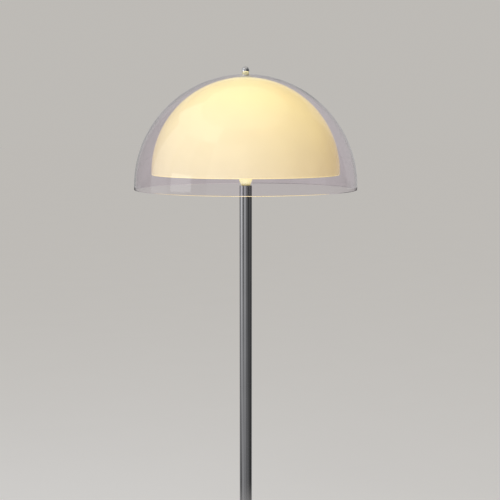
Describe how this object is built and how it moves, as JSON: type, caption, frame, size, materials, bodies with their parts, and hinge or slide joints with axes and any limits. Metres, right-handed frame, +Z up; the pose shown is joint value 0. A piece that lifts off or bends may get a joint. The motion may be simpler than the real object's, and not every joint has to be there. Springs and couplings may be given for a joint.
{
  "type": "floor lamp",
  "caption": "Mushroom floor lamp: a lit opal dome nested in a clear dome on a slim chrome pole, with a ball finial and a weighted round foot.",
  "frame": {"origin": "on the floor, on the axis of the pole", "axes": "+Z up along the pole, -Y towards the viewer of the picture, +X to the viewer's right; the cord inlet is at +Y"},
  "size_m": [0.4499, 0.45, 1.4979],
  "materials": {
    "chrome": "polished chrome plate",
    "cast_weight": "black painted casting",
    "rubber": "matt black",
    "zinc_steel": "zinc plated",
    "carrier_steel": "bright nickel plated",
    "holder_plastic": "white moulded thermoplastic",
    "porcelain": "unglazed porcelain",
    "contact_brass": "stamped",
    "bulb_metal": "rolled screw shell",
    "bulb_glass": "frosted, warm white when lit",
    "dark_insulator": "black vitrite",
    "opal_acrylic": "gloss opal, glows warm white when lit",
    "clear_acrylic": "clear with a faint grey tint, polished edge",
    "clear_washer": "translucent"
  },
  "bodies": {
    "stand": {"base_weight": "cast_weight", "base_cover": "chrome", "base_washer": "zinc_steel", "base_nut": "zinc_steel", "base_nipple": "zinc_steel", "cable_gland": "rubber", "foot_pad_1": "rubber", "foot_pad_2": "rubber", "foot_pad_3": "rubber", "foot_pad_4": "rubber", "foot_pad_5": "rubber", "foot_pad_6": "rubber", "pole_collar": "chrome", "pole_foot_plug": "zinc_steel", "pole_lower": "chrome", "joint_socket": "zinc_steel", "joint_spigot": "zinc_steel", "pole_upper": "chrome", "pole_top_plug": "zinc_steel", "holder_nipple": "zinc_steel", "holder_cap": "holder_plastic", "holder_insert": "porcelain", "terminal_screws": "zinc_steel", "centre_contact": "contact_brass", "side_contact": "contact_brass", "holder_shell": "holder_plastic", "shade_ring_lower": "holder_plastic", "shade_ring_upper": "holder_plastic", "carrier_ring": "carrier_steel", "carrier_arm_1": "carrier_steel", "carrier_arm_2": "carrier_steel", "carrier_arm_3": "carrier_steel", "carrier_hub": "carrier_steel", "carrier_stud": "zinc_steel", "support_washer": "clear_washer"},
    "bulb": {"bulb_cap": "bulb_metal", "bulb_insulator": "dark_insulator", "bulb_contact": "contact_brass", "bulb_envelope": "bulb_glass"},
    "inner_shade": {"inner_shade": "opal_acrylic", "spacer_washer": "clear_washer"},
    "outer_shade": {"outer_shade": "clear_acrylic"},
    "finial_washer": {"finial_washer": "clear_washer"},
    "finial": {"finial": "chrome"}
  },
  "joints": [
    {"name": "inner_shade_lift", "type": "slide", "parent": "stand", "child": "inner_shade", "axis": [0, 0, 1], "range_m": [0, 0.22]},
    {"name": "outer_shade_lift", "type": "slide", "parent": "inner_shade", "child": "outer_shade", "axis": [0, 0, 1], "range_m": [0, 0.235]},
    {"name": "finial_rise", "type": "slide", "parent": "outer_shade", "child": "finial_washer", "axis": [0, 0, 1], "range_m": [0, 0.009]},
    {"name": "finial_turn", "type": "hinge", "parent": "finial_washer", "child": "finial", "pos_m": [0, 0, 1.49], "axis": [0, 0, 1], "range_deg": [0, 3240]},
    {"name": "bulb_turn", "type": "hinge", "parent": "stand", "child": "bulb", "pos_m": [0, 0, 1.31], "axis": [0, 0, 1], "range_deg": [0, 1800]}
  ],
  "couplings": [
    {"joint": "finial_rise", "follows": "finial_turn", "m_per_rad": 0.00015915}
  ]
}
